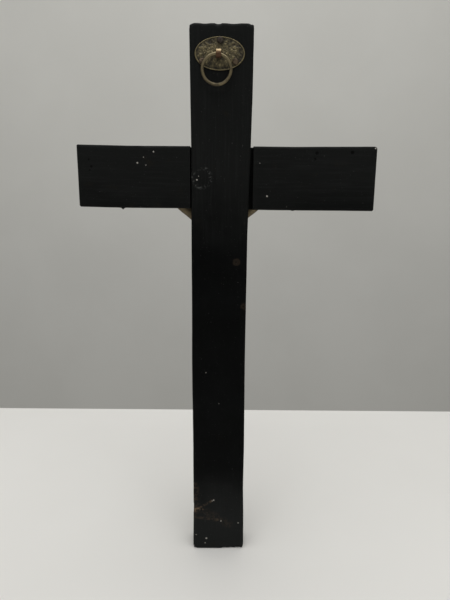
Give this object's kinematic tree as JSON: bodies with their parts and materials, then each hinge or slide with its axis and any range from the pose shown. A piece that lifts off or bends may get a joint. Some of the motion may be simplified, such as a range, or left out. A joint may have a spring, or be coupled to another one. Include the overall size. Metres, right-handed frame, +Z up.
{
  "type": "wall crucifix",
  "caption": "Wooden wall crucifix of half-lapped boards, a brass ring hanger on its back and a cast figure and a blank scroll on its front.",
  "frame": {"origin": "middle of the upright's foot, on its end face", "axes": "+Z up the upright, -Y out of the front that carries the figure, +Y out of the back that carries the ring, +X to the right of someone who looks at the front"},
  "size_m": [0.2018, 0.0473, 0.384],
  "materials": {
    "painted_wood": "hand-brushed black paint on softwood, satin, chipped at the arrises",
    "iron": "dark iron wire nail, dull",
    "copper_nail": "coppered nail head, pinkish brown, dull",
    "stamped_brass": "thin stamped brass with a dark patina and a rubbed rim",
    "polished_brass": "rubbed brass wire and strip, patina in the hollows",
    "aged_brass": "sheet brass, darkened in the hollows and rubbed on the high places",
    "bronzed_plaster": "hard plaster with a bronze finish, darkened in the hollows and rubbed on the high places"
  },
  "bodies": {
    "cross": {"upright": "painted_wood", "crossbar": "painted_wood", "lap_brad_upper": "iron", "lap_brad_lower": "iron", "hanger_plate": "stamped_brass", "hanger_nail_top": "iron", "hanger_nail_left": "copper_nail", "hanger_nail_right": "copper_nail", "ring_eye": "polished_brass", "corpus_body": "bronzed_plaster", "corpus_arm_left": "bronzed_plaster", "corpus_arm_right": "bronzed_plaster", "hand_nail_left": "iron", "hand_nail_right": "iron", "foot_nail": "iron", "titulus": "aged_brass", "titulus_pin_left": "aged_brass", "titulus_pin_right": "aged_brass"},
    "ring": {"hanging_ring": "polished_brass"}
  },
  "joints": [
    {"name": "ring_swing", "type": "hinge", "parent": "cross", "child": "ring", "pos_m": [0.00145, 0.0129, 0.3648], "axis": [1, 0, 0], "range_deg": [0, 180]}
  ]
}
